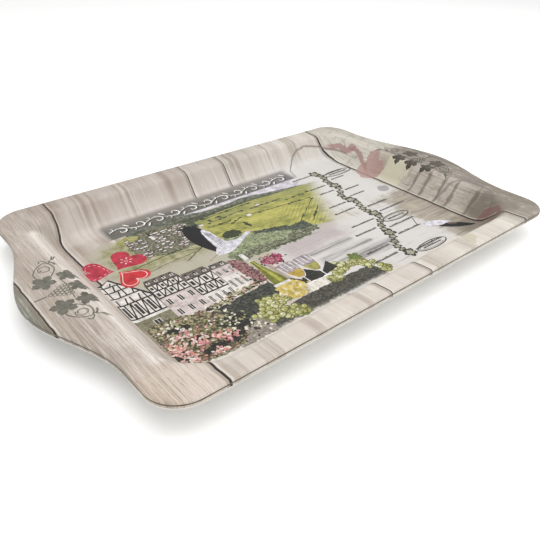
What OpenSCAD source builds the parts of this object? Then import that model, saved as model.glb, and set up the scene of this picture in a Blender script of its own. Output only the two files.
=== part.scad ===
// Serving tray with two ear handles: a thin moulding whose floor, walls, flat rim and
// turned-down lip are one sheet, with a printed foil and a clear glaze over its upper face.
// The origin is on the table under the tray's centre, +X along its length, +Z up.

/* [Overall size] */
// Length over both ear handles
tray_length = 500; // [460:5:540]
// Width over the long rims
tray_width = 310; // [290:5:340]
// Height of the long rims above the table
tray_height = 29; // [27:0.5:34]

/* [Floor and walls] */
// Length of the flat floor
floor_length = 352; // [320:2:360]
// Width of the flat floor
floor_width = 218; // [190:2:226]
// Corner radius of the floor
floor_corner_r = 20; // [16:1:26]
// Slope of the walls, in degrees
wall_slope = 52; // [46:1:62]
// Radius of the hollow curve at the foot of the walls
wall_foot_r = 14; // [10:1:16]
// Radius of the round curve at the top of the walls
wall_top_r = 10; // [6:1:12]

/* [Rim and ear handles] */
// Corner radius of the rim
rim_corner_r = 27; // [22:1:34]
// How far each ear handle swells past the short rim
ear_reach = 26.5; // [16:0.5:32]
// Half the width of an ear handle, where its swell dies out
ear_half_width = 106; // [90:1:110]
// How much lower the short rims are than the long ones
end_drop = 1; // [0:0.25:2]
// How far the tip of an ear handle curls down
ear_curl = 1.5; // [0:0.25:3]
// Rise of the flat rim, from the wall to its outer edge
rim_rise = 0.6; // [0:0.1:1.2]
// Radius of the roll along the outer edge
edge_roll_r = 2.8; // [2:0.1:3.2]
// Height of the turned-down lip, roll included
lip_height = 5.5; // [4.5:0.1:7]

/* [Layers] */
// Thickness of the moulding
core_thickness = 2.2; // [1.8:0.1:2.6]
// Thickness of the printed foil
foil_thickness = 0.15; // [0.1:0.01:0.3]
// Thickness of the clear glaze over the print
glaze_thickness = 0.2; // [0.1:0.01:0.4]

/* [Foot ring] */
// Height of the foot ring under the floor
foot_ring_height = 1.2; // [0.8:0.1:2]
// Width of the foot ring where it meets the table
foot_ring_width = 3; // [2:0.5:4]
// Distance from the edge of the floor in to the foot ring
foot_ring_inset = 7; // [5:0.5:8]

/* [Hidden] */

// Steps along each short side, round each corner and round each curve of the section
end_steps = 24;
corner_steps = 8;
curve_steps = 4;
foot_ring_draft = 0.8;

sheet_thickness = core_thickness + foil_thickness + glaze_thickness;
floor_z = foot_ring_height + sheet_thickness;
rim_z = tray_height - floor_z;
wall_z = rim_z - rim_rise;

floor_half = [floor_length / 2, floor_width / 2];
rim_half = [tray_length / 2 - ear_reach, tray_width / 2];

// The straight part of the wall takes up what height its two curves leave.
curve_rise = (wall_foot_r + wall_top_r) * (1 - cos(wall_slope));
straight_run = (wall_z - curve_rise) / tan(wall_slope);
wall_run = (wall_foot_r + wall_top_r) * sin(wall_slope) + straight_run;

// ---- Stations: places round the tray, shared by every line of the section ----

// The four corners in turn, as the signs of their x and y
corner_signs = [[1, 1], [-1, 1], [-1, -1], [1, -1]];

// A side is crossed in many steps where an ear handle swells it, and in one where it is straight.
function side_steps(q) = q % 2 == 0 ? end_steps : 1;

// A station holds a place between corner centres, from -1 to 1 each way, and an outward angle.
function side_stations(q) = [
    for (i = [0 : side_steps(q) - 1])
        let (t = i / side_steps(q), from = corner_signs[(q + 3) % 4], to = corner_signs[q])
            [from[0] + (to[0] - from[0]) * t, from[1] + (to[1] - from[1]) * t, 90 * q]
];
function corner_stations(q) = [
    for (i = [0 : corner_steps - 1])
        [corner_signs[q][0], corner_signs[q][1], 90 * (q + i / corner_steps)]
];
stations_in_turn = [
    for (q = [0 : 3]) each concat(side_stations(q), corner_stations(q))
];
station_count = len(stations_in_turn);

// The first station lies half way round a corner, so that no flat cap's fan of triangles
// starts on one of the outline's straight runs.
first_station = end_steps + corner_steps / 2;
stations = [
    for (i = [0 : station_count - 1]) stations_in_turn[(first_station + i) % station_count]
];

function outward(st) = [cos(st[2]), sin(st[2])];

// A rounded rectangle's point at a station
function outline_point(st, half, r) =
    [st[0] * (half[0] - r), st[1] * (half[1] - r)] + r * outward(st);

// The ear's swell along the short side, from 0 at its ends to 1 in its middle
function on_short_side(st) = abs(cos(st[2])) > 0.999;
function swell(st, y) =
    on_short_side(st) && abs(y) < ear_half_width ? (1 + cos(180 * y / ear_half_width)) / 2 : 0;
function swell_slope(st, y) =
    on_short_side(st) && abs(y) < ear_half_width
        ? -ear_reach * PI / (2 * ear_half_width) * sin(180 * y / ear_half_width)
        : 0;

function wall_top_point(st) = outline_point(st, floor_half, floor_corner_r) + wall_run * outward(st);
function rim_edge_point(st) =
    let (p = outline_point(st, rim_half, rim_corner_r))
        p + [sign(p[0]) * ear_reach * swell(st, p[1]), 0];

// The rim edge's own outward direction, which leans on the flanks of an ear handle
function rim_edge_outward(st) =
    let (y = outline_point(st, rim_half, rim_corner_r)[1],
         lean = outward(st) - [0, swell_slope(st, y)])
        lean / norm(lean);

// ---- Section: the tray's upper line, from the floor out to the foot of the lip ----

// A section point is [blend, out, z, normal_out, normal_z]: blend runs from 0 at the top of
// the wall to 1 at the rim's edge, out is a distance beyond that place, and z counts from the floor.
function curve_angles(full) = [for (i = [0 : curve_steps]) full * i / curve_steps];

wall_foot_section = [
    for (a = curve_angles(wall_slope))
        [0, wall_foot_r * sin(a) - wall_run, wall_foot_r * (1 - cos(a)), -sin(a), cos(a)]
];
wall_top_section = [
    for (a = curve_angles(wall_slope))
        let (b = wall_slope - a)
            [0, -wall_top_r * sin(b), wall_z - wall_top_r * (1 - cos(b)), -sin(b), cos(b)]
];
edge_roll_section = [
    for (a = curve_angles(90))
        [1, edge_roll_r * (sin(a) - 1), rim_z - edge_roll_r * (1 - cos(a)), sin(a), cos(a)]
];
lip_foot_section = [[1, 0, rim_z - lip_height, 1, 0]];
section = concat(wall_foot_section, wall_top_section, edge_roll_section, lip_foot_section);

// The foot ring's line under the floor, from its outer side to its inner side, as [out, drop]
foot_ring_section = [
    [-foot_ring_inset, 0],
    [-foot_ring_inset - foot_ring_draft, foot_ring_height],
    [-foot_ring_inset - foot_ring_draft - foot_ring_width, foot_ring_height],
    [-foot_ring_inset - 2 * foot_ring_draft - foot_ring_width, 0]
];

// How near a station's outward angle is to a short side's: 1 there, 0 on the long sides
function short_side_share(st) = pow(cos(st[2]), 2);

// A section point at a station, a depth below the upper face
function sheet_point(s, st, depth) =
    let (share = s[0],
         edge = rim_edge_point(st),
         toward = (1 - share) * outward(st) + share * rim_edge_outward(st),
         place = (1 - share) * wall_top_point(st) + share * edge + (s[1] - depth * s[3]) * toward,
         end_scale = 1 - end_drop / rim_z * short_side_share(st),
         curl = ear_curl * share * swell(st, edge[1]))
        [place[0], place[1], floor_z + s[2] * end_scale - curl - depth * s[4]];

// The level foot of the lip is cut straight, so a layer there keeps the lip's height.
function sheet_ring(s, depth) = [for (st = stations) sheet_point(s, st, depth)];
function sheet_rings(depth) = [for (s = section) sheet_ring(s, depth)];

function foot_ring_ring(p) = [
    for (st = stations)
        let (place = outline_point(st, floor_half, floor_corner_r) + p[0] * outward(st))
            [place[0], place[1], foot_ring_height - p[1]]
];

function reversed(list) = [for (i = [len(list) - 1 : -1 : 0]) list[i]];

// One closed solid through a run of rings: flat caps over the first and the last ring, and
// four-sided faces from each ring to the next
module solid_through(rings) {
    last = len(rings) - 1;
    faces = [
        for (r = [0 : last - 1], i = [0 : station_count - 1])
            let (j = (i + 1) % station_count)
                [r * station_count + i, (r + 1) * station_count + i,
                 (r + 1) * station_count + j, r * station_count + j]
    ];
    first_cap = [for (i = [0 : station_count - 1]) i];
    last_cap = [for (i = [station_count - 1 : -1 : 0]) last * station_count + i];
    polyhedron(points = [for (ring = rings) each ring], faces = concat([first_cap], faces, [last_cap]));
}

// One layer of the sheet, between two depths below the upper face
module sheet_layer(upper, lower) {
    solid_through(concat(sheet_rings(upper), reversed(sheet_rings(lower))));
}

// The tray's body: floor, walls, rim, ear handles and lip, with the foot ring under the floor
module core_moulding() {
    color("gainsboro")
        solid_through(concat(
            sheet_rings(foil_thickness + glaze_thickness),
            reversed(sheet_rings(sheet_thickness)),
            [for (p = foot_ring_section) foot_ring_ring(p)]
        ));
}

// The printed foil moulded onto the body's upper face
module decor_foil() {
    color("rosybrown") sheet_layer(glaze_thickness, glaze_thickness + foil_thickness);
}

// The clear glaze moulded over the print
module clear_glaze() {
    color("whitesmoke", 0.35) sheet_layer(0, glaze_thickness);
}

core_moulding();
decor_foil();
clear_glaze();
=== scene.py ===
"""A printed serving tray with two ear handles, on a plain pale floor in soft studio light.

The shape repeats the CAD's rules at a finer step. Its print is a mosaic of inked regions laid in
the moulded sheet: weathered boards all over, and a landscape of generic motifs on the floor.
Lengths of the tray and of its print are in millimetres until a mesh is made.
"""
import math
import random
from collections import namedtuple

import bmesh
import bpy
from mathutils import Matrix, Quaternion, Vector
from mathutils.bvhtree import BVHTree
from mathutils.geometry import delaunay_2d_cdt
from mathutils.interpolate import poly_3d_calc


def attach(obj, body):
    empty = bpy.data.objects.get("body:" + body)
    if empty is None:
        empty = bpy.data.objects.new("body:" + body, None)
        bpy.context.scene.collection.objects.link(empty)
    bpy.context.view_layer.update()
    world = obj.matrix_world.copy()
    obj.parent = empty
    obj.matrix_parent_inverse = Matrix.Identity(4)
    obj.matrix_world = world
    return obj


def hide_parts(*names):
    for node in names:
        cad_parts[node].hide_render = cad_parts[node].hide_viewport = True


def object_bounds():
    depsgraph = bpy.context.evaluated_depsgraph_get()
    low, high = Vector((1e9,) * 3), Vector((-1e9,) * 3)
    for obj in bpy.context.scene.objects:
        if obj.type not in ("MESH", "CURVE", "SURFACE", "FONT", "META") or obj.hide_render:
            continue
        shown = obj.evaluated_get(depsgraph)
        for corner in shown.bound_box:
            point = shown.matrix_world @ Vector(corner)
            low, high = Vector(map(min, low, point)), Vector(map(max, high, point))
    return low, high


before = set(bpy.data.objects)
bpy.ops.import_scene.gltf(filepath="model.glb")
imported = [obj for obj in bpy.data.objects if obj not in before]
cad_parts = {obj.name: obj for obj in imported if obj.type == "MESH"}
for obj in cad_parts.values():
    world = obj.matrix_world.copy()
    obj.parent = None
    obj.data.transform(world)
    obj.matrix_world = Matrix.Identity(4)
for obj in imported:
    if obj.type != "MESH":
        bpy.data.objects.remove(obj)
cad_low, cad_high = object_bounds()

MM = 0.001

# ---- The tray's driving dimensions, as the CAD has them ----

TRAY_LENGTH = (cad_high.x - cad_low.x) / MM
TRAY_WIDTH = (cad_high.y - cad_low.y) / MM
TRAY_HEIGHT = (cad_high.z - cad_low.z) / MM
FLOOR_LENGTH, FLOOR_WIDTH, FLOOR_CORNER_R = 352, 218, 20
WALL_SLOPE = math.radians(52)
WALL_FOOT_R, WALL_TOP_R = 14, 10
RIM_CORNER_R = 27
EAR_REACH, EAR_HALF_WIDTH = 26.5, 106
END_DROP, EAR_CURL, RIM_RISE = 1, 1.5, 0.6
EDGE_ROLL_R, LIP_HEIGHT = 2.8, 5.5
CORE_THICKNESS, PRINT_THICKNESS = 2.2, 0.35
FOOT_RING_HEIGHT, FOOT_RING_WIDTH, FOOT_RING_INSET = 1.2, 3, 7
FOOT_RING_DRAFT, FOOT_RING_ROUND = 0.8, 0.4

# The print stops this far above the foot of the lip, and leaves the moulding's own edge bare.
BARE_EDGE = 0.9
LIP_ROUND = 0.5
# The print's underside stays this far off the moulding, so that no two faces coincide.
PRINT_GAP = 0.02
# The picture's shapes stay this far inside the end of the wall's hollow foot.
PICTURE_MARGIN = 0.6

SHEET = CORE_THICKNESS + PRINT_THICKNESS
FLOOR_Z = FOOT_RING_HEIGHT + SHEET
RIM_Z = TRAY_HEIGHT - FLOOR_Z
WALL_Z = RIM_Z - RIM_RISE
FLOOR_HALF = (FLOOR_LENGTH / 2, FLOOR_WIDTH / 2)
RIM_HALF = (TRAY_LENGTH / 2 - EAR_REACH, TRAY_WIDTH / 2)
CURVE_RISE = (WALL_FOOT_R + WALL_TOP_R) * (1 - math.cos(WALL_SLOPE))
STRAIGHT_RUN = (WALL_Z - CURVE_RISE) / math.tan(WALL_SLOPE)
WALL_RUN = (WALL_FOOT_R + WALL_TOP_R) * math.sin(WALL_SLOPE) + STRAIGHT_RUN
FOOT_RUN = WALL_FOOT_R * math.sin(WALL_SLOPE)
QUARTER_TURN = math.pi / 2
UP = Vector((0, 0, 1))

# Steps along each short side, round each corner and round each curve of the section
END_STEPS, CORNER_STEPS, CURVE_STEPS = 64, 18, 8

# ---- Stations and section, by the CAD's rules ----

Station = namedtuple("Station", "fx fy angle")
Cut = namedtuple("Cut", "share out z normal_out normal_z")


def between(start, end, t):
    """The point a share t of the way from one point to another."""
    return start[0] + (end[0] - start[0]) * t, start[1] + (end[1] - start[1]) * t


def stations_round():
    """Places round the tray, anticlockwise, as shares of the way to the corner centres and an angle."""
    signs = [(1, 1), (-1, 1), (-1, -1), (1, -1)]
    made = []
    for q in range(4):
        start, end = signs[q - 1], signs[q]
        steps = 1 if q % 2 else END_STEPS
        for i in range(steps):
            fx, fy = between(start, end, i / steps)
            made.append(Station(fx, fy, QUARTER_TURN * q))
        for i in range(CORNER_STEPS):
            made.append(Station(end[0], end[1], QUARTER_TURN * (q + i / CORNER_STEPS)))
    return made


STATIONS = stations_round()
AROUND = len(STATIONS)


def outward(st):
    return Vector((math.cos(st.angle), math.sin(st.angle)))


def outline_point(st, half, radius):
    return Vector((st.fx * (half[0] - radius), st.fy * (half[1] - radius))) + radius * outward(st)


def swell(st, y):
    """The ear handle's swell along a short side, and its slope."""
    if abs(math.cos(st.angle)) < 0.999 or abs(y) >= EAR_HALF_WIDTH:
        return 0, 0
    turn = math.pi * y / EAR_HALF_WIDTH
    steepest = EAR_REACH * QUARTER_TURN / EAR_HALF_WIDTH
    return (1 + math.cos(turn)) / 2, -steepest * math.sin(turn)


def sheet_point(cut, st, depth):
    """A point of the section at a station, a depth below the upper face."""
    rim = outline_point(st, RIM_HALF, RIM_CORNER_R)
    bulge, slope = swell(st, rim.y)
    edge = rim + Vector((math.copysign(EAR_REACH * bulge, rim.x), 0))
    edge_out = (outward(st) - Vector((0, slope))).normalized()
    wall_top = outline_point(st, FLOOR_HALF, FLOOR_CORNER_R) + WALL_RUN * outward(st)
    toward = outward(st).lerp(edge_out, cut.share)
    place = wall_top.lerp(edge, cut.share) + (cut.out - depth * cut.normal_out) * toward
    end_scale = 1 - END_DROP / RIM_Z * math.cos(st.angle) ** 2
    curl = EAR_CURL * cut.share * bulge
    return Vector((place.x, place.y, FLOOR_Z + cut.z * end_scale - curl - depth * cut.normal_z))


def turns(full):
    """The angles at which a curve of the section is cut."""
    return [full * i / CURVE_STEPS for i in range(CURVE_STEPS + 1)]


def wall_foot_cuts():
    return [Cut(0, WALL_FOOT_R * math.sin(a) - WALL_RUN, WALL_FOOT_R * (1 - math.cos(a)),
                -math.sin(a), math.cos(a)) for a in turns(WALL_SLOPE)]


def wall_top_cuts():
    return [Cut(0, -WALL_TOP_R * math.sin(b), WALL_Z - WALL_TOP_R * (1 - math.cos(b)),
                -math.sin(b), math.cos(b)) for b in reversed(turns(WALL_SLOPE))]


def edge_roll_cuts():
    return [Cut(1, EDGE_ROLL_R * (math.sin(a) - 1), RIM_Z - EDGE_ROLL_R * (1 - math.cos(a)),
                math.sin(a), math.cos(a)) for a in turns(QUARTER_TURN)]


def lip_cut(above_foot):
    """A line round the upright lip, a height above its foot."""
    return Cut(1, 0, RIM_Z - LIP_HEIGHT + above_foot, 1, 0)


FOOT, TOP, ROLL = wall_foot_cuts(), wall_top_cuts(), edge_roll_cuts()
UPPER = FOOT + TOP + ROLL + [lip_cut(BARE_EDGE)]
FOOT_END = len(FOOT) - 1
ROLL_START = len(FOOT) + len(TOP)
# A dark line round the lower part of the edge roll: partly the print's edge and partly painted shade where
# the roll turns down.
EDGE_LINE_AND_SHADE_STEPS = range(ROLL_START + CURVE_STEPS - 2, ROLL_START + CURVE_STEPS)


def floor_distance(x, y):
    """How far a plan point lies outside the floor's outline, negative inside."""
    qx = abs(x) - (FLOOR_HALF[0] - FLOOR_CORNER_R)
    qy = abs(y) - (FLOOR_HALF[1] - FLOOR_CORNER_R)
    return math.hypot(max(qx, 0), max(qy, 0)) + min(max(qx, qy), 0) - FLOOR_CORNER_R


# ---- Meshes ----


def linked(name, data):
    """A new object that stands in the scene."""
    made = bpy.data.objects.new(name, data)
    bpy.context.scene.collection.objects.link(made)
    return made


class Skin:
    """A mesh being made: points with their normals, shared by place, and faces with their inks."""

    def __init__(self):
        self.points, self.normals, self.faces, self.inks, self.known = [], [], [], [], {}

    def point(self, place, normal):
        """The number of the point at a place, which is added if it is new."""
        key = tuple(round(c, 3) for c in place)
        if key not in self.known:
            self.known[key] = len(self.points)
            self.points.append(Vector(place))
            self.normals.append(Vector(normal))
        return self.known[key]

    def face(self, corners, ink):
        distinct = [c for i, c in enumerate(corners) if c != corners[i - 1]]
        if len(distinct) > 2:
            self.faces.append(distinct)
            self.inks.append(ink)

    def strip(self, ring_a, ring_b, ink):
        """Four-sided faces between two rings, facing up where ring_b lies outside ring_a."""
        for i in range(AROUND):
            j = (i + 1) % AROUND
            self.face([ring_a[i], ring_b[i], ring_b[j], ring_a[j]], ink)

    def build(self, name, materials, smooth_normals=False):
        """Makes the piece, with the points' own normals or with those of its faces."""
        mesh = bpy.data.meshes.new(name)
        mesh.from_pydata([p * MM for p in self.points], [], self.faces)
        order = {ink: i for i, ink in enumerate(dict.fromkeys(self.inks))}
        for ink in order:
            mesh.materials.append(materials[ink])
        mesh.polygons.foreach_set("material_index", [order[ink] for ink in self.inks])
        mesh.validate()
        mesh.shade_smooth()
        if smooth_normals and len(mesh.vertices) == len(self.normals):
            mesh.normals_split_custom_set_from_vertices([tuple(n) for n in self.normals])
        return linked(name, mesh)


class UpperFace:
    """The sheet's upper face: rings of points with smooth normals, and the height between them."""

    def __init__(self):
        self.points = [sheet_point(cut, st, 0) for cut in UPPER for st in STATIONS]
        self.corners = []
        for r in range(len(UPPER) - 1):
            for i in range(AROUND):
                a, b = r * AROUND + i, r * AROUND + (i + 1) % AROUND
                self.corners.append([a, a + AROUND, b + AROUND, b])
        bm = bmesh.new()
        verts = [bm.verts.new(p) for p in self.points]
        for corners in self.corners:
            bm.faces.new([verts[c] for c in corners])
        bm.normal_update()
        self.normals = [v.normal.copy() for v in verts]
        bm.free()
        # The first ring is the edge of the floor, which is level.
        self.normals[:AROUND] = [UP] * AROUND
        self.tree = BVHTree.FromPolygons(self.points, self.corners)

    def ring(self, r):
        """One ring's points, each with its normal."""
        places = range(r * AROUND, (r + 1) * AROUND)
        return [(self.points[i], self.normals[i]) for i in places]

    def at(self, x, y):
        """The upper face's point and normal over a plan point."""
        if floor_distance(x, y) <= 0:
            return Vector((x, y, FLOOR_Z)), UP
        # A ray may slip between two faces, so it is tried again a hair aside.
        for nudge in (0, 0.003, -0.003):
            above = Vector((x + nudge, y + nudge, 100))
            hit, _, index, _ = self.tree.ray_cast(above, -UP)
            if hit is not None:
                break
        corners = self.corners[index]
        weights = poly_3d_calc([self.points[c] for c in corners], hit)
        normal = sum((self.normals[c] * w for c, w in zip(corners, weights)), Vector())
        return Vector((x, y, hit.z)), normal.normalized()


UPPER_FACE = UpperFace()

# ---- Outlines ----

Shape = namedtuple("Shape", "ink outline")


def turned(points, angle, centre):
    """The points turned about the origin and moved to centre."""
    c, s = math.cos(angle), math.sin(angle)
    return [(centre[0] + x * c - y * s, centre[1] + x * s + y * c) for x, y in points]


def box(left, right, low, high):
    return [(left, low), (right, low), (right, high), (left, high)]


def polar(centre, rx, ry, angle):
    return centre[0] + rx * math.cos(angle), centre[1] + ry * math.sin(angle)


def oval(centre, rx, ry, steps, start=0.0, end=math.tau):
    """A closed oval, or an open arc of one where start and end are given."""
    full = end - start
    count = steps if abs(full - math.tau) < 1e-6 else steps + 1
    return [polar(centre, rx, ry, start + full * i / steps) for i in range(count)]


def smooth(points, closed=True, steps=4):
    """A rounder outline through a few points, by Catmull and Rom's curve."""
    n = len(points)
    made = []
    for i in range(n if closed else n - 1):
        places = [i + k for k in (-1, 0, 1, 2)]
        near = [points[p % n] if closed else points[min(max(p, 0), n - 1)] for p in places]
        for step in range(steps):
            t = step / steps
            w = (-t / 2 + t * t - t ** 3 / 2, 1 - 2.5 * t * t + 1.5 * t ** 3,
                 t / 2 + 2 * t * t - 1.5 * t ** 3, -t * t / 2 + t ** 3 / 2)
            made.append(tuple(sum(wk * p[axis] for wk, p in zip(w, near)) for axis in (0, 1)))
    if not closed:
        made.append(points[-1])
    return made


def ragged(points, rng, step, rough):
    """The outline with its edges broken up, as leaves and grass break up an edge."""
    made = []
    for start, end in zip(points, points[1:] + points[:1]):
        run, rise = end[0] - start[0], end[1] - start[1]
        length = math.hypot(run, rise)
        count = max(1, round(length / step))
        for i in range(count):
            push = rng.uniform(-rough, rough)
            x, y = between(start, end, i / count)
            made.append((x - rise / max(length, 0.01) * push, y + run / max(length, 0.01) * push))
    return made


def clump(ink, centre, rx, ry, rng, rough=1.4, step=1.4, steps=14):
    """A ragged oval, such as a bush."""
    return Shape(ink, ragged(oval(centre, rx, ry, steps), rng, step, rough))


def area(points):
    return sum(a[0] * b[1] - b[0] * a[1] for a, b in zip(points, points[1:] + points[:1])) / 2


def stroke(ink, path, width, thin_ends=False):
    """A drawn line as one ribbon along the path, full width all along or thinning to its ends."""
    last = len(path) - 1
    left, right = [], []
    for i, (x, y) in enumerate(path):
        before, after = path[max(i - 1, 0)], path[min(i + 1, last)]
        along = Vector((after[0] - before[0], after[1] - before[1])).normalized()
        half = width / 2 * (0.3 + 0.7 * math.sin(math.pi * i / last) if thin_ends else 1)
        left.append((x - along.y * half, y + along.x * half))
        right.append((x + along.y * half, y - along.x * half))
    return [Shape(ink, right + left[::-1])]


def spiral(centre, start_r, end_r, start, sweep, steps=14):
    """A path from one radius to another, turning by sweep from the angle start."""
    made = []
    for i in range(steps + 1):
        radius = start_r + (end_r - start_r) * i / steps
        made.append(polar(centre, radius, radius, start + sweep * i / steps))
    return made


def vine_leaf(centre, radius, direction, steps=50):
    """Five pointed lobes round a stalk, the middle one along direction."""
    made = []
    for i in range(steps):
        a = math.tau * i / steps - math.pi
        lobe = abs(math.cos(2.5 * a)) ** 1.1
        tooth = 0.05 * math.cos(15 * a)
        r = radius * (0.62 + 0.38 * lobe + tooth) * (0.84 + 0.16 * math.cos(a / 2))
        made.append((r * math.cos(a), r * math.sin(a)))
    return turned(made, direction, centre)


# ---- The print's motifs: generic ones, each its own short function ----

# Places are in millimetres from the tray's middle, x towards the right ear and y to the back.
# A motif gives its shapes in painter's order, and later ones cover earlier ones.

# The picture ends here, short of the floor's left edge.
PICTURE_LEFT = -183


def patches(rng, *rows):
    """Ragged patches laid one over another: each row is ink, outline, step and roughness."""
    return [Shape(ink, ragged(outline, rng, step, rough)) for ink, outline, step, rough in rows]


def title_scroll():
    """A dark band with a running vine scroll in white, shadowed, where a heading would stand."""
    left, right, low, high = -141, 108, 89, 120
    made = [Shape("band", box(left, right, low, high))]
    middle, pitch, curls = 102, 20.5, 11
    for ink, shift, swelled in (("band_shadow", 0.8, 0.7), ("scroll", 0, 0)):
        def place(points):
            return [(x + shift, y - shift) for x, y in points]
        stem = [(left + 9 + i * 3, middle + 3.6 * math.sin(i * 3 / pitch * math.pi)) for i in range(76)]
        made += stroke(ink, place(stem), 0.8 + swelled)
        for k in range(curls):
            x = left + 9 + pitch / 2 + k * pitch
            up = 1 if k % 2 else -1
            curl = spiral((x + 2.5, middle + up * 1.6), 7.4, 1.6, -up * 2.3, up * 5.6, 22)
            made += stroke(ink, place(curl), 1.7 + swelled, thin_ends=True)
            small = spiral((x - 6.5, middle - up * 5.6), 3.6, 1.2, up * 2.6, -up * 4.6)
            made += stroke(ink, place(small), 1 + swelled, thin_ends=True)
            leaf = turned(oval((0, 0), 4, 1 + swelled / 2, 10), up * 0.9, (x + 10.5, middle - up * 5.8))
            made.append(Shape(ink, place(leaf)))
    return made


def hills():
    """Sky, a far ridge, vineyards in rows with hedges, and a wooded slope below them."""
    rng = random.Random(3)
    sky = [(-53, 86), (-20, 88), (40, 83), (90, 74), (108, 72), (108, 92), (-53, 92)]
    ridge = smooth([(-126, 68), (-60, 60), (30, 66), (98, 66), (104, 72), (60, 80), (20, 88),
                    (0, 86), (-30, 86), (-55, 91.5), (-112, 91.5), (-124, 84)])
    near_ridge = smooth([(-112, 74), (-60, 64), (6, 70), (96, 66), (60, 75), (16, 80), (-30, 80),
                         (-76, 84)])
    fields = [(-54, 72), (-20, 76), (20, 77), (60, 74), (124, 72), (122, 52), (100, 16), (74, -16),
              (22, 0), (-20, 18), (-54, 30)]
    slope = [(-64, 14), (-48, 30), (-20, 20), (12, 8), (40, -2), (42, -10), (10, -16), (-40, -17),
             (-66, -8)]
    thicket = [(-66, -2), (-52, -6), (-30, -4), (-6, -8), (20, -3), (40, -6), (40, -14), (12, -19),
               (-30, -18), (-64, -15)]
    woods = [(-21, 21), (-6, 18), (8, 14), (20, 8), (37, 8), (39, -6), (24, -6), (10, 3), (-4, 10),
             (-18, 15)]
    return [Shape("sky", sky)] + patches(
        rng, ("ridge", ridge, 2.5, 0.5), ("near_ridge", near_ridge, 2.0, 0.8),
        ("vineyard", fields, 2.5, 0.6), ("slope", slope, 2, 1.6), ("thicket", thicket, 1.6, 2.2),
        ("woods", woods, 1.6, 1.2)) + hedges(rng)


def hedge_path(start, end, rng, steps=16, wander=0.7):
    places = [between(start, end, t / steps) for t in range(steps + 1)]
    return [(x, y + rng.uniform(-wander, wander)) for x, y in places]


def hedges(rng):
    """Hedges between the fields with bushes along them, single trees, and three far huts."""
    made = []
    for start, end in (((-50, 54), (-20, 53)), ((4, 51), (80, 43)), ((-46, 61), (0, 64)),
                       ((10, 62), (52, 61)), ((-46, 72), (20, 74)), ((56, 55), (90, 56)),
                       ((-24, 47), (-10, 52)), ((34, 8), (80, 40)), ((46, 2), (74, 24)),
                       ((-22, -15), (24, -17))):
        path = hedge_path(start, end, rng)
        made += stroke("hedge", path, 0.7 + 0.8 * rng.random())
        for place in path:
            if rng.random() < 0.35:
                rx, ry = rng.uniform(1, 3), rng.uniform(0.8, 1.8)
                made.append(clump("hedge", place, rx, ry, rng, 0.6, steps=9))
    for centre, rx, ry in ((-38, 30), 11, 7), ((-13, 36), 2, 7), ((-28, 67), 4, 1.8), ((-39, 65), 2, 3):
        made.append(clump("hedge", centre, rx, ry, rng, 1.0, 1.6))
    for x, y, tall in (0.5, 49, 4.6), (22, 63, 3), (-52, 61, 3):
        made.append(Shape("plaster", box(x - 2.4, x + 2.4, y, y + tall)))
        made.append(Shape("roof", [(x - 3, y + tall), (x + 3, y + tall), (x, y + tall + 2.2)]))
    return made


def village():
    """A meadow, and the roofs and walls of a far village crowded round a spire."""
    rng = random.Random(11)
    meadow = [(-176, 62), (-150, 84), (-118, 70), (-68, 46), (-60, 20), (-78, 6), (-120, 10), (-170, 6)]
    crowd = smooth([(-132, 62), (-122, 80), (-98, 86), (-66, 80), (-60, 60), (-72, 38), (-104, 34),
                    (-124, 46)])
    far_field = [(-136, 82), (-124, 88), (-112, 81), (-120, 74), (-134, 74)]
    made = patches(rng, ("meadow", meadow, 3, 0.8), ("village", crowd, 2, 1.4))
    for start, end in (((-150, 30), (-96, 36)), ((-146, 18), (-84, 24)), ((-120, 40), (-76, 26)),
                       ((-100, 14), (-66, 32))):
        path = hedge_path(start, end, rng, 12, 0.8)
        made += stroke("hedge", path, 0.6 + 0.6 * rng.random())
    made += patches(rng, ("far_field", far_field, 2, 1.2))
    places = [(rng.uniform(-130, -66), rng.uniform(38, 78)) for _ in range(96)]
    for x, y in sorted(places, key=lambda place: -place[1]):
        wide, tall = rng.uniform(2.4, 5.4), rng.uniform(1.4, 2.6)
        eaves = y + tall
        made.append(Shape("shade", box(x - 0.7, x + wide + 0.7, y - 0.9, eaves)))
        made.append(Shape(rng.choice(("sill", "plaster", "pink")), box(x, x + wide, y, eaves)))
        made.append(Shape("roof", [(x - 0.6, eaves), (x + wide + 0.6, eaves),
                                   (x + wide * 0.7, eaves + 1.9), (x + wide * 0.3, eaves + 1.9)]))
    x, y = -103, 66
    made.append(Shape("plaster", box(x - 1.6, x + 1.6, y, y + 8)))
    made.append(Shape("pane", [(x - 1.8, y + 8), (x + 1.8, y + 8), (x, y + 19)]))
    return made


def heart(tip, length, direction):
    """A heart with its point at tip, opening along direction."""
    steps = 40
    made = []
    for i in range(steps):
        t = math.tau * i / steps
        x = 16 * math.sin(t) ** 3
        y = 13 * math.cos(t) - 5 * math.cos(2 * t) - 2 * math.cos(3 * t) - math.cos(4 * t) + 17
        made.append((y * length / 29, -x * length / 29))
    return turned(made, direction, tip)


def inset(outline, share):
    """The outline shrunk to a share of its size about its middle."""
    cx = sum(x for x, _ in outline) / len(outline)
    cy = sum(y for _, y in outline) / len(outline)
    return [(cx + (x - cx) * share, cy + (y - cy) * share) for x, y in outline]


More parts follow.
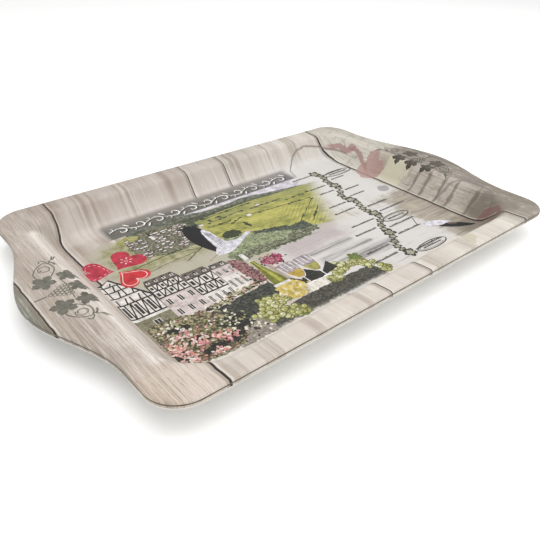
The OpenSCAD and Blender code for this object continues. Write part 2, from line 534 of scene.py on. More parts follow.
def hearts():
    """Three plain hearts, point to point: one stitched, one with a flower and one with a line inside."""
    meeting = Vector((-157.5, 37.5))
    made = []
    for ink, degrees, length, inside in (("crimson", 150, 29, "stitches"), ("crimson", 36, 31, "flower"),
                                         ("red", -68, 28, "line")):
        direction = math.radians(degrees)
        ahead = Vector((math.cos(direction), math.sin(direction)))
        tip = meeting + 1.2 * ahead
        outline = heart(tip, length, direction)
        made.append(Shape(ink, outline))
        line = inset(outline, 0.8)
        if inside == "stitches":
            for i in range(0, len(line), 2):
                made += stroke("pale_line", line[i:i + 2], 0.6)
        elif inside == "flower":
            middle = tip + 0.55 * length * ahead
            for k in range(6):
                a = math.tau * k / 6
                petal = turned(oval((0, 0), 1.5, 0.7, 8), a, polar(middle, 4.6, 4.6, a))
                made.append(Shape("pale_line", petal))
            made += stroke("pale_line", oval(middle, 1.5, 1.5, 8) + [(middle.x + 1.5, middle.y)], 0.5)
        else:
            made += stroke("pale_line", line + line[:1], 0.9)
    return made


def window(x, y, wide, tall):
    """A dark pane in a pale frame, with a pale bar down its middle."""
    bar = x + wide / 2
    return [Shape("plaster", box(x - 0.6, x + wide + 0.6, y - 0.6, y + tall + 0.6)),
            Shape("pane", box(x, x + wide, y, y + tall)),
            Shape("plaster", box(bar - 0.25, bar + 0.25, y, y + tall))]


def timber_storey(left, right, low, high, bays):
    """Pale panels between dark posts, with braces and windows by turns."""
    made = [Shape("plaster", box(left, right, low, high))]
    bay = (right - left) / bays
    for k in range(bays):
        x = left + k * bay
        if k % 2:
            made += stroke("timber", [(x + 0.4, low), (x + bay - 0.4, high)], 1.2)
        else:
            made.append(Shape("pane", box(x + bay * 0.28, x + bay * 0.72, low + 3, high - 3)))
    for k in range(bays + 1):
        made += stroke("timber", [(left + k * bay, low), (left + k * bay, high)], 1.3)
    for y in (low, high):
        made += stroke("timber", [(left, y), (right, y)], 1.8)
    return made


def plain_storey(left, right, low, high, ink, windows):
    made = [Shape(ink, box(left, right, low, high))]
    gap = (right - left) / windows
    for k in range(windows):
        made += window(left + gap * (k + 0.32), low + (high - low) * 0.25, gap * 0.34, (high - low) * 0.5)
    return made


def roof(left, right, low, high, dormers):
    made = [Shape("roof", [(left - 1, low), (right + 1, low), (right - 2, high), (left + 2, high)])]
    gap = (right - left) / dormers
    for k in range(dormers):
        x = left + gap * (k + 0.5)
        made.append(Shape("plaster", box(x - 1.6, x + 1.6, low + 2, low + 5)))
        made.append(Shape("timber", [(x - 2.4, low + 5), (x + 2.4, low + 5), (x, low + 8)]))
        made.append(Shape("pane", box(x - 0.7, x + 0.7, low + 2.6, low + 4.6)))
    return made


def houses():
    """A row of half-timbered houses on a quay: a tall gable first, then lower ones beside it."""
    left, right = PICTURE_LEFT + 0.5, -150
    middle = left + (right - left) * 0.36
    made = [Shape("plaster", [(left, -12), (right, -12), (middle + 4, 24), (middle, 29), (left, 22)])]
    made += stroke("timber", [(right + 1, -13), (middle, 29), (left, 22)], 2.2)
    for y in (-12, 0, 10, 19):
        reach = middle + (right - middle) * (29 - y) / 41
        made += stroke("timber", [(left, y), (reach, y)], 1.7)
        for k in range(int((reach - left) / 6)):
            x = left + 3 + 6 * k
            made += stroke("timber", [(x, y), (x + (2.4 if k % 2 else 0), min(y + 9, 24))], 1.3)
    made += timber_storey(left, right, -34, -12, 6)
    made += [Shape("sill", box(left, right, -38, -34.8)), Shape("stone", box(left, right, -54, -38))]
    made += window(-168, -50, 5, 7)
    house = (-150, -119)
    made += plain_storey(*house, -38, -21, "pink", 3) + plain_storey(*house, -54, -38, "pink", 3)
    made += timber_storey(*house, -21, -10, 5) + timber_storey(*house, -10, 0, 6)
    made += roof(*house, 0.6, 9, 4)
    house = (-119, -92)
    made += plain_storey(*house, -57, -38, "plaster", 4) + timber_storey(*house, -38, -25, 5)
    made += timber_storey(*house, -25, -12, 4) + roof(*house, -11.4, -1, 3)
    house = (-92, -73)
    made += plain_storey(*house, -28, -12, "pink", 3) + plain_storey(*house, -52, -28, "plaster", 3)
    made += roof(*house, -12, -4, 2)
    made.append(Shape("pane", box(-102, -98, -56, -48)))
    return made


def quay():
    """A pale kerb with the dark wall and water under it, and a reddish creeper at its end."""
    rng = random.Random(5)
    creeper = [(-72, -8), (-62, -14), (-58, -34), (-60, -54), (-76, -55), (-72, -40), (-78, -26)]
    wall = [(-152, -64), (-64, -56), (-58, -74), (-88, -84), (-128, -96), (-156, -80)]
    made = patches(rng, ("creeper", creeper, 1.8, 2.4), ("water", wall, 2.5, 1))
    return made + stroke("sill", [(-152, -63), (-120, -60), (-64, -54.5)], 1.6)


def planting():
    """Low shrubs in flower along the kerb, in front of the houses."""
    rng = random.Random(17)
    inks = ("cream", "foliage_pale", "shade", "blush", "foliage_pale")
    made = []
    for k in range(7):
        place = (-134 + 10 * k, -59 + 1.1 * k)
        made.append(clump("foliage", place, rng.uniform(5, 8), rng.uniform(2.5, 4.5), rng))
        made += petals(inks, place, (4, 2.2), 22, rng, high=-46)
    return made


def bird(body, wing_dark, wing_pale, legs, beak):
    made = [Shape("bird_dark", smooth(wing_dark)), Shape("bird_pale", smooth(wing_pale))]
    made.append(Shape("bird_pale", smooth(body)))
    return made + stroke("leg", legs, 1.0) + stroke("leg", beak, 1.2)


def birds():
    """A large wading bird in flight with its wings up, and another gliding away beyond the route."""
    first = bird(body=[(-72, 6), (-60, 3), (-44, 9), (-30, 18), (-20, 22), (-24, 25), (-40, 19),
                       (-52, 22), (-64, 18)],
                 wing_dark=[(-68, 9), (-77, 34), (-76, 56), (-68, 70), (-60, 64), (-56, 56),
                            (-60, 44), (-62, 22)],
                 wing_pale=[(-64, 12), (-62, 42), (-58, 54), (-53, 48), (-52, 28), (-50, 14)],
                 legs=[(-66, 9), (-76, 5), (-84, 1)], beak=[(-23, 23), (-17, 21)])
    for k in range(7):
        tip = (-77 + 3.6 * k, 74 - abs(k - 2.5) * 2.2)
        feather = [(-72 + 2 * k, 58), (-74 + 2.9 * k, 67), tip]
        first += stroke("bird_dark", feather, 2.4, thin_ends=True)
    for k in range(4):
        vane = [(-60 + 2.2 * k, 16 + k), (-59 + 1.6 * k, 34), (-58.5 + 1.4 * k, 50 - 2 * k)]
        first += stroke("shade", vane, 0.5)
    second = bird(body=[(128, -74), (134, -71), (148, -76), (160, -87), (150, -86), (136, -82)],
                  wing_dark=[(140, -86), (150, -86), (163, -93), (174, -106), (163, -103), (150, -96)],
                  wing_pale=[(132, -76), (146, -76), (156, -84), (144, -86)],
                  legs=[(152, -88), (160, -93)], beak=[(129, -72), (123, -70)])
    return first + second + stroke("bird_dark", [(124, -70), (132, -58)], 0.9)


def petals(inks, centre, spread, count, rng, low=-108, high=-50):
    """Small round flowers scattered about a centre, off the picture's edge and between two lines."""
    made = []
    while len(made) < count:
        x, y = rng.gauss(centre[0], spread[0]), rng.gauss(centre[1], spread[1])
        if floor_distance(x, y) < 3 and x > PICTURE_LEFT + 2 and low < y < high:
            flower = oval((0, 0), rng.uniform(0.9, 1.9), rng.uniform(0.7, 1.3), 7)
            flower = turned(flower, rng.random() * 3, (x, y))
            made.append(Shape(rng.choice(inks), flower))
    return made


def blossoms():
    """A bank of leaves and flowers in the near corner, and flowers by the bottle and the quay."""
    rng = random.Random(21)
    bank = [(-182, -50), (-160, -48), (-134, -56), (-122, -70), (-112, -84), (-118, -98), (-128, -109),
            (-152, -110), (-174, -104), (-183, -84)]
    pale = [(-130, -92), (-112, -86), (-96, -90), (-90, -98), (-98, -112), (-134, -112)]
    made = patches(rng, ("pavement", pale, 2, 1.2), ("foliage", bank, 2, 1.6))
    for centre, rx, ry in (((-160, -64), 10, 5), ((-148, -100), 12, 5), ((-172, -92), 6, 7),
                           ((-120, -80), 13, 7), ((-114, -90), 9, 5), ((-130, -98), 10, 5),
                           ((-152, -84), 9, 4)):
        made.append(clump("shade", centre, rx, ry, rng, 2.0))
    flowers = ("coral", "rose", "blush", "blush", "cream", "magenta_pale")
    for inks, centre, spread, count in (
            (flowers, (-172, -84), (4, 4), 54), (flowers, (-168, -98), (4, 4), 50),
            (flowers, (-152, -86), (5, 4), 60), (flowers, (-134, -92), (4, 3), 40),
            (flowers, (-160, -72), (6, 3), 40), (flowers, (-146, -104), (5, 2), 30),
            (("cream", "shade", "foliage_pale"), (-106, -94), (9, 6), 60),
            (("cream", "foliage_pale", "foliage_pale"), (-160, -58), (10, 4), 60),
            (("foliage_pale", "berry_dark", "cream"), (-126, -76), (9, 6), 60)):
        made += petals(inks, centre, spread, count, rng)
    made.append(clump("magenta", (-37, -31), 12, 7, rng, 2, 1.6, 16))
    bouquet = ("magenta", "rose", "magenta_pale", "creeper", "shade")
    made += petals(bouquet, (-37, -31), (6, 4), 90, rng, -44, -19)
    return made + petals(("creeper", "rose", "shade"), (-68, -34), (5, 9), 50, rng, -54, -14)


def bottle():
    """A slim wine bottle with a white capsule and a blank label, behind a heap of golden leaves."""
    rng = random.Random(2)
    axis = -54.5
    profile = [(2.2, -22), (2.8, -32), (4.8, -44), (6.8, -54), (7.6, -64)]
    side = smooth(profile, closed=False, steps=3)
    made = []
    for ink, left, right in ("bottle", -1, 1), ("bottle_light", -0.1, 0.5):
        outline = [(axis + w * left, y) for w, y in side]
        outline += [(axis + w * right, y) for w, y in reversed(side)]
        made.append(Shape(ink, outline))
    for ink, left, right, low, high in (("sill", -3.2, 3.2, -16.5, -5.6), ("band", 1.6, 3.2, -16.5, -5.6),
                                        ("sill", -2.8, 2.8, -22, -20)):
        made.append(Shape(ink, box(axis + left, axis + right, low, high)))
    heap = smooth([(-63.5, -67), (-44.5, -67), (-40.5, -76), (-46.5, -87), (-58.5, -91), (-64.5, -80)])
    made += patches(rng, ("glow", heap, 1.8, 1.6))
    made += petals(("glow", "berry_pale", "cream", "glow"), (-52.5, -79), (7, 5), 60, rng, high=-68)
    made.append(Shape("sill", box(axis - 9.5, axis + 8.5, -67.5, -64)))
    return made


def wine_glass(axis, wine):
    """A glass with wine in its bowl and thin lights down it."""
    rim_y, foot_y, half = -42, -80, 9.4
    bowl = oval((axis, rim_y - 3), half, 25, 24, math.pi, math.tau)
    made = [Shape("glass", [(axis + half * 0.82, rim_y), (axis - half * 0.82, rim_y)] + bowl)]
    made.append(Shape(wine, oval((axis, -57), half * 0.86, 11.6, 20, math.pi, math.tau)))
    for k in (-0.5, 0.05, 0.55):
        made += stroke("glint", [(axis + half * k, rim_y - 1), (axis + half * k * 1.05, -55)], 0.8)
    made += stroke("glint", bowl, 0.7) + stroke("glint", [(axis, -69), (axis, foot_y)], 1.1)
    made.append(Shape("glint", oval((axis, foot_y), 5, 1, 12)))
    return made


def glasses():
    """Two glasses in front of the dark leaves behind them."""
    dark = [(-46, -62), (-38, -72), (-26, -60), (-14, -73), (0, -62), (2, -76), (-20, -80), (-44, -78)]
    return [Shape("shade", dark)] + wine_glass(-15, "wine_pale") + wine_glass(-34, "wine_amber")


def grapes(centres, spread, count, seed):
    """Round berries heaped along a run of centres, each with a light on its upper left."""
    rng = random.Random(seed)
    made = [clump("berry_shade", centre, spread * 1.9, spread * 1.6, rng, 1, 2, 16) for centre in centres]
    for _ in range(count):
        t = rng.random() * (len(centres) - 1)
        i = min(int(t), len(centres) - 2)
        x, y = between(centres[i], centres[i + 1], t - i)
        x += rng.gauss(0, spread)
        y += rng.gauss(0, spread * 0.8)
        r = rng.uniform(2.2, 3.5)
        face = rng.choice(["berry", "berry", "berry_pale"])
        made += [Shape("berry_dark", oval((x, y), r, r, 11)),
                 Shape(face, oval((x - 0.2, y + 0.3), r * 0.82, r * 0.8, 11)),
                 Shape("glint", oval((x - r * 0.3, y + r * 0.35), r * 0.2, r * 0.2, 6))]
    return made


def ledge():
    """A stone ledge along the front, with grapes and leaves lying on it."""
    rng = random.Random(8)
    stone = [(-92, -98), (-66, -92), (-40, -90), (0, -91), (26, -92), (36, -112), (-100, -112)]
    cloth = [(-46, -91), (-38, -80), (-24, -81), (-6, -85), (-4, -91)]
    made = patches(rng, ("ledge", stone, 3, 0.7), ("cream", cloth, 1.8, 0.9))
    for centre, radius, direction in ((-80, -80), 9, 2.4), ((26, -74), 8, 0.6), ((-2, -78), 7, 1.9):
        made.append(Shape("leaf_green", vine_leaf(centre, radius, direction)))
    made += grapes([(-64, -82), (-84, -80), (-92, -92), (-78, -98), (-68, -105)], 4.4, 110, 31)
    return made + grapes([(-14, -88), (6, -77), (24, -82), (36, -104)], 3.8, 100, 32)


def landscape():
    """The picture, from its farthest shapes to its nearest."""
    return (title_scroll() + hills() + village() + quay() + houses() + planting() + hearts()
            + birds() + blossoms() + ledge() + glasses() + bottle())


def route_point(share):
    """The route winds from the far side of the floor to the near one."""
    y = 88 - 194 * share
    return 126 - 56 * share ** 1.7 + 4 * math.sin(share * 13) + 3 * math.sin(share * 33), y


def dashes(left, y, length, rng):
    """A run of small blocks where a place name would be."""
    tall = 2.8
    made = []
    x, end = left, left + length
    while x < end:
        wide = min(rng.uniform(1.4, 3.8), end - x)
        rise = tall * rng.uniform(0.7, 1.1)
        made.append(Shape("note", box(x, x + wide, y - tall / 2, y - tall / 2 + rise)))
        x += wide + 0.35
    return made


def route():
    """A winding line hung with small vine leaves, with blank notes and oval tags beside it."""
    rng = random.Random(14)
    made = stroke("route", [route_point(i / 70) for i in range(71)], 1.5)
    stops = 26
    for k in range(stops):
        x, y = route_point((k + 0.3) / stops)
        size = 5.4 if k % 5 else 8.2
        direction = rng.uniform(0, math.tau)
        made.append(Shape("route", vine_leaf((x, y), size, direction, 30)))
        made.append(Shape("leaf_fill", vine_leaf((x, y), size * 0.58, direction, 24)))
        if k % 3 != 2:
            length = rng.uniform(18, 30) + 10 * (y < -10)
            made += dashes(x + 8 if k % 2 else x - 8 - length, y, length, rng)
    for cx, cy, rx in (155, 74, 22), (122, -44, 19), (104, -104, 21):
        made += stroke("route", oval((cx, cy), rx, 6, 26) + [(cx + rx, cy)], 1.4)
        made += stroke("route", oval((cx, cy), rx - 2.6, 4, 26, 0.3, 5.6), 0.6)
        made += dashes(cx - rx * 0.65, cy, rx * 1.3, rng)
    return made


def sprig(side, inset_x):
    """A vine sprig on an ear handle: five leaves round a bunch of grapes, and a tendril each way."""
    ink = "sprig" if side < 0 else "sprig_dark"

    def put(x, y):
        return side * (x - inset_x), y
    tendrils = (([(226, 29), (226.5, 38), (221, 46), (213, 50), (209.5, 44), (210, 36), (217, 27)], 1.1),
                (spiral((216.5, 40.5), 5.2, 3.2, -0.6, 7.2, 12), 1.0),
                ([(217, 51.5), (215, 54.5), (212, 52), (211, 47), (208, 51), (204.5, 52.5), (201, 58)], 1.1),
                ([(209, 49), (207, 46), (206.5, 43)], 1.6),
                ([(206, 52), (204.5, 55.5), (203.5, 57.5)], 1.3))
    made = []
    for up in (True, False):
        for points, width in tendrils:
            path = [put(x, y if up else 7 - 0.9 * y) for x, y in points]
            made += stroke(ink, smooth(path, closed=False), width)
    for x, y, radius, degrees in ((224, 22, 10.4, 60), (205, 23, 9.2, 115), (204, 5, 8.8, 185),
                                  (224, -15, 10.8, 300), (206, -15, 9.4, 235)):
        direction = math.radians(degrees if side > 0 else 180 - degrees)
        made.append(Shape(ink, vine_leaf(put(x, y), radius, direction)))
    for row, berries in enumerate((5, 5, 4, 3, 2, 1)):
        for k in range(berries):
            centre = put(212 + row * 2.9, 4 + (k - (berries - 1) / 2) * 3.4)
            made += stroke(ink, oval(centre, 1.5, 1.5, 10) + [(centre[0] + 1.5, centre[1])], 0.75)
    made += stroke(ink, [put(229, 4), put(239, 3.5)], 1.5)
    return made + stroke(ink, [put(212, 20), put(211, 12), put(213, -10)], 0.8)


# ---- From shapes to a mosaic ----


def holds(outline, x, y):
    """Whether an outline winds round a point."""
    winding = 0
    for (x0, y0), (x1, y1) in zip(outline, outline[1:] + outline[:1]):
        if (y0 > y) != (y1 > y):
            side = (x1 - x0) * (y - y0) - (x - x0) * (y1 - y0)
            if side > 0 and y1 > y0:
                winding += 1
            elif side < 0 and y1 < y0:
                winding -= 1
    return winding != 0


class Painting:
    """Shapes laid one over another, filed by squares so that the top one at a place is soon found."""

    SQUARE = 6

    def __init__(self, shapes, ground):
        self.shapes, self.ground, self.squares = shapes, ground, {}
        for index, shape in enumerate(shapes):
            xs, ys = [p[0] for p in shape.outline], [p[1] for p in shape.outline]
            for i in range(self.square(min(xs)), self.square(max(xs)) + 1):
                for j in range(self.square(min(ys)), self.square(max(ys)) + 1):
                    self.squares.setdefault((i, j), []).append(index)

    def square(self, value):
        return math.floor(value / self.SQUARE)

    def ink_at(self, x, y):
        for index in reversed(self.squares.get((self.square(x), self.square(y)), [])):
            if holds(self.shapes[index].outline, x, y):
                return self.shapes[index].ink
        return self.ground


def mosaic(skin, rings, painting, keep=lambda p: True):
    """Cuts the upper face between its rings into triangles that follow every shape of the painting."""
    coords, edges, solid = [], [], []
    for r in rings:
        edges += closed_edges(len(coords), AROUND)
        solid += UPPER_FACE.ring(r)
        coords += [place.to_2d() for place, _ in UPPER_FACE.ring(r)]
    for shape in painting.shapes:
        edges += closed_edges(len(coords), len(shape.outline))
        coords += [Vector(p) for p in shape.outline]
    tolerance = 1e-3
    points, _, triangles, sources, _, _ = delaunay_2d_cdt(coords, edges, [], 1, tolerance)
    index = {}

    def vertex(v):
        if v not in index:
            known = [solid[s] for s in sources[v] if s < len(solid)]
            index[v] = skin.point(*(known[0] if known else UPPER_FACE.at(*points[v])))
        return index[v]
    for corners in triangles:
        middle = sum((points[c] for c in corners), Vector((0, 0))) / 3
        if keep(middle):
            skin.face([vertex(c) for c in corners], painting.ink_at(*middle))


def closed_edges(start, count):
    """A ring of edges through count points in turn, from the one numbered start."""
    return [(start + i, start + (i + 1) % count) for i in range(count)]


def held_inside(shapes, limit):
    """Pulls every point that lies more than limit outside the floor's outline back to that line.

    Shapes that this leaves with almost no area are dropped.
    """
    made = []
    for shape in shapes:
        outline = []
        for x, y in shape.outline:
            x = max(x, PICTURE_LEFT)
            here = floor_distance(x, y)
            if here > limit:
                step = 0.01
                slope = Vector((floor_distance(x + step, y) - here,
                                floor_distance(x, y + step) - here)).normalized()
                x, y = x - slope.x * (here - limit), y - slope.y * (here - limit)
            outline.append((x, y))
        if abs(area(outline)) > 0.02:
            made.append(Shape(shape.ink, outline))
    return made


def under_ring(skin, cut):
    """The print's underside along one line of the section."""
    depth = PRINT_THICKNESS - PRINT_GAP
    made = []
    for st in STATIONS:
        side = outward(st) * -cut.normal_out
        made.append(skin.point(sheet_point(cut, st, depth), Vector((side.x, side.y, -cut.normal_z))))
    return made


def upper_ring(skin, r):
    return [skin.point(*place) for place in UPPER_FACE.ring(r)]


def under_side(skin, cuts):
    """The print's underside through some lines of the section, as the rings it runs through."""
    under = [under_ring(skin, cut) for cut in cuts]
    for inner, outer in zip(under, under[1:]):
        skin.strip(outer, inner, "reverse")
    return under


def printed_floor(materials):
    """The floor's print, out to the end of the wall's hollow foot."""
    skin = Skin()
    shapes = held_inside(landscape() + route(), FOOT_RUN - PICTURE_MARGIN)
    mosaic(skin, range(FOOT_END + 1), Painting(shapes, "boards"))
    under = under_side(skin, FOOT)
    skin.face(under[0][::-1], "reverse")
    skin.strip(upper_ring(skin, FOOT_END), under[-1], "reverse")
    return skin.build("printed_floor", materials, smooth_normals=True)


def printed_surround(materials):
    """The print on the walls, the rim, the ear handles and the turned-down lip."""
    skin = Skin()
    painting = Painting(sprig(-1, 0) + sprig(1, -1), "boards")
    mosaic(skin, range(FOOT_END, ROLL_START + 1), painting,
           lambda p: floor_distance(p.x, p.y) > FOOT_RUN - 0.02)
    last = len(UPPER) - 1
    for r in range(ROLL_START, last):
        # The dark line on the lower roll is partly painted shade where the roll turns down.
        ink = "edge_line_and_shade" if r in EDGE_LINE_AND_SHADE_STEPS else "boards"
        skin.strip(upper_ring(skin, r), upper_ring(skin, r + 1), ink)
    under = under_side(skin, UPPER[FOOT_END:])
    skin.strip(under[0], upper_ring(skin, FOOT_END), "reverse")
    skin.strip(upper_ring(skin, last), under[-1], "reverse")
    return skin.build("printed_surround", materials, smooth_normals=True)


def tray_body(materials):
    """The moulding under the print: its bare lip foot, its underside and its foot ring."""
    skin = Skin()

    def ring(cut, depth):
        return [skin.point(sheet_point(cut, st, depth), UP) for st in STATIONS]
    rings = [ring(cut, PRINT_THICKNESS) for cut in UPPER]
    rings.append(ring(lip_cut(BARE_EDGE), 0))
    rounding = [(LIP_ROUND * (1 - math.sin(a)), LIP_ROUND * (1 - math.cos(a))) for a in turns(QUARTER_TURN)]
    rings += [ring(lip_cut(more), less) for more, less in rounding]
    rings += [ring(lip_cut(less), SHEET - more) for more, less in rounding]
    rings += [ring(cut, SHEET) for cut in reversed(UPPER[:-1])]
    rings += foot_ring(skin)
    for a, b in zip(rings, rings[1:]):
        skin.strip(a, b, "moulding")
    skin.face(rings[0], "moulding")
    skin.face(rings[-1][::-1], "moulding")
    piece = skin.build("tray_body", materials)
    sharp_above = math.radians(38)
    piece.data.set_sharp_from_angle(angle=sharp_above)
    return piece


def foot_ring(skin):
    """The ring the tray stands on, tapered and rounded at its edges."""
    r, h = FOOT_RING_ROUND, FOOT_RING_HEIGHT
    outer = -FOOT_RING_INSET
    inner = outer - 2 * FOOT_RING_DRAFT - FOOT_RING_WIDTH
    edge = [(r * math.cos(a), h - r + r * math.sin(a)) for a in turns(QUARTER_TURN)]
    line = [(outer, 0), (outer - FOOT_RING_DRAFT * 0.7, h - r)]
    line += [(outer - FOOT_RING_DRAFT - r + run, drop) for run, drop in edge[1:]]
    line += [(inner + FOOT_RING_DRAFT + r - run, drop) for run, drop in reversed(edge)]
    line += [(inner, 0)]
    made = []
    for out, drop in line:
        ring = []
        for st in STATIONS:
            place = outline_point(st, FLOOR_HALF, FLOOR_CORNER_R) + out * outward(st)
            ring.append(skin.point((place.x, place.y, FOOT_RING_HEIGHT - drop), -UP))
        made.append(ring)
    return made


# ---- Materials ----


def colour(code):
    """A colour from its six-figure web code, as the linear light that shaders use."""
    parts = [int(code[i:i + 2], 16) / 255 for i in (0, 2, 4)]
    return tuple(c / 12.92 if c <= 0.04045 else ((c + 0.055) / 1.055) ** 2.4 for c in parts) + (1,)


class Value:
    """A number or colour that a shader works out. Adding, multiplying and so on make more nodes."""

    def __init__(self, net, socket):
        self.net, self.socket = net, socket

    def __add__(self, other):
        return self.net.math("ADD", self, other)

    def __sub__(self, other):
        return self.net.math("SUBTRACT", self, other)

    def __rsub__(self, other):
        return self.net.math("SUBTRACT", other, self)

    def __mul__(self, other):
        return self.net.math("MULTIPLY", self, other)

    def __abs__(self):
        return self.net.math("ABSOLUTE", self)

    def rise(self, start, end):
        """0 before start, 1 after end, and smooth between; falls where start is past end."""
        return self.net.add("ShaderNodeMapRange", {"Value": self, "From Min": start, "From Max": end},
                            interpolation_type="SMOOTHSTEP")

    def window(self, low, high, soft):
        """1 between low and high, fading to 0 over soft either side of each."""
        return self.rise(low - soft, low + soft) * self.rise(high + soft, high - soft)


def patch(x, y, left, right, low, high, soft):
    """1 inside a rectangle, fading to 0 round it."""
    return x.window(left, right, soft) * y.window(low, high, soft)


class Net:
    """Shader nodes written as calls, each of which adds a node and returns its output."""

    def __init__(self, tree):
        self.tree = tree
        self.tree.nodes.clear()

    def node(self, kind, inputs=(), **settings):
        node = self.tree.nodes.new(kind)
        for key, value in settings.items():
            setattr(node, key, value)
        for key, value in dict(inputs).items():
            if isinstance(value, Value):
                self.tree.links.new(value.socket, node.inputs[key])
            else:
                node.inputs[key].default_value = value
        return node

    def parts(self, kind, inputs, *outputs, **settings):
        """Adds a node and returns several of its outputs."""
        node = self.node(kind, inputs, **settings)
        return [Value(self, node.outputs[key]) for key in outputs]

    def add(self, kind, inputs=(), output=0, **settings):
        return self.parts(kind, inputs, output, **settings)[0]

    def math(self, operation, a, b=0.0):
        return self.add("ShaderNodeMath", {0: a, 1: b}, operation=operation)

    def vector(self, operation, a, b, output=0):
        return self.add("ShaderNodeVectorMath", {0: a, 1: b}, output, operation=operation)

    def place(self):
        """Finds the place on the tray in millimetres: a vector with no height, and its x and y."""
        raw = self.add("ShaderNodeTexCoord", output="Object")
        self.at = self.vector("MULTIPLY", raw, (1000, 1000, 0))
        self.x, self.y = self.parts("ShaderNodeSeparateXYZ", {0: self.at}, 0, 1)

    def stretched(self, sx, sy, shift=0.0):
        return self.vector("ADD", self.vector("MULTIPLY", self.at, (sx, sy, 0)), (shift, shift, shift))

    def noise(self, sx, sy, detail, shift=0.0, rough=0.55):
        """Noise with sx and sy waves to a millimetre, taken shift away from other noise."""
        return self.add("ShaderNodeTexNoise", {"Vector": self.stretched(sx, sy, shift), "Scale": 1.0,
                                               "Detail": detail, "Roughness": rough})

    def distance(self, centre):
        return self.vector("DISTANCE", self.at, (*centre, 0), "Value")

    def mix(self, factor, a, b, blend="MIX"):
        return self.add("ShaderNodeMix", {0: factor, 6: a, 7: b}, 2, data_type="RGBA", blend_type=blend)

    def tints(self, tone, *rows):
        """Lays tints over a tone in turn: each row is where it lies, its code and its strength."""
        for where, code, strength in rows:
            tone = self.mix(where * strength, tone, colour(code))
        return tone

    def ramp(self, factor, *stops):
        made = self.node("ShaderNodeValToRGB", {0: factor})
        elements = made.color_ramp.elements
        while len(elements) < len(stops):
            elements.new(0.5)
        for element, (position, code) in zip(elements, stops):
            element.position = position
            element.color = colour(code)
        return Value(self, made.outputs[0])


# Where the boards meet, and each board's tone from the left
JOINTS = (-241.5, -178, -22, 28.7, 178, 241.5)
# The outermost tones, on the ear lobes, are darker: partly the boards' own tone and partly painted shade
# where the lobes turn down.
BOARD_TONES = ("84867A", "C2B7AC", "CCC2BA", "D3CBC4", "D3CEC5", "B5AC9E", "8C8677")
# Streaked stretches of the boards, as the middle and half the width of each
BANDS = ((-168, 6), (-139, 9), (-97, 5), (-47, 4), (42, 7), (90, 4), (131, 7))


def boards_group():
    """Weathered boards across the tray with the wine stains on them, painted light on the walls and the front
    rim, and painted shade towards the back, as a colour and a height.
    """
    group = bpy.data.node_groups.new("weathered_boards", "ShaderNodeTree")
    group.interface.new_socket("Color", in_out="OUTPUT", socket_type="NodeSocketColor")
    group.interface.new_socket("Height", in_out="OUTPUT", socket_type="NodeSocketFloat")
    net = Net(group)
    net.place()
    x, y = net.x, net.y
    # The joints lean outwards up the walls, by these shares of their distance from the middle.
    back_lean, front_lean = 5 / 176, 1.5 / 176
    across = x + x * (y.rise(104, 124) * back_lean + y.rise(-104, -124) * front_lean)
    tone = colour(BOARD_TONES[0])
    for joint, code in zip(JOINTS, BOARD_TONES[1:]):
        tone = net.mix(across.rise(joint - 0.2, joint + 0.2), tone, colour(code))
    broad = net.noise(0.05, 0.004, 2)
    streak = net.noise(0.25, 0.005, 4, 7)
    grain = net.noise(1.5, 0.03, 4, 13)
    blotch = net.noise(0.04, 0.03, 4, 29)
    specks = net.noise(0.55, 0.4, 5, 83, 0.75)
    band = 0.0
    for middle, half in BANDS:
        band = net.math("MAXIMUM", band, x.window(middle - half, middle + half, 2))
    inner = abs(x).rise(196, 174)
    tone = net.tints(
        tone, (broad.rise(0.45, 0.7), "A5958A", 0.35),
        (band * streak.rise(0.36, 0.6), "93806F", 0.6),
        (inner * streak.rise(0.6, 0.72), "8F7D6E", 0.4),
        (inner * streak.rise(0.44, 0.34), "E9E3DC", 0.5),
        (grain.rise(0.52, 0.68), "7D6E62", 0.34), (blotch.rise(0.5, 0.68), "E6E1DA", 0.3),
        (specks.rise(0.6, 0.68), "F3EFE9", 0.4), (specks.rise(0.4, 0.33), "877B70", 0.35),
        # Painted light: the middle boards are lighter on the walls, and more so on the front wall and front
        # rim.
        (inner * abs(y).window(100, 124, 7), "EEEAE4", 0.3),
        (inner * y.window(-136, -107, 6), "EEEADF", 0.36),
        (inner * y.rise(-130, -140), "E6E1D4", 0.22))
    tone = washes(net, x, y, ears(net, x, y, tone))
    tone, seam = joints(net, across, tone)
    # Painted shade: the back wall and rim grow darker towards the back edge, but not across the stretch round
    # x = 128.
    back_shade_across = abs(x - 128).rise(32, 62)
    tone = net.tints(stains(net, tone), (y.rise(105, 156) * back_shade_across, "8A7F74", 0.34))
    net.node("NodeGroupOutput", {"Color": tone, "Height": grain * 0.4 - seam})
    return group


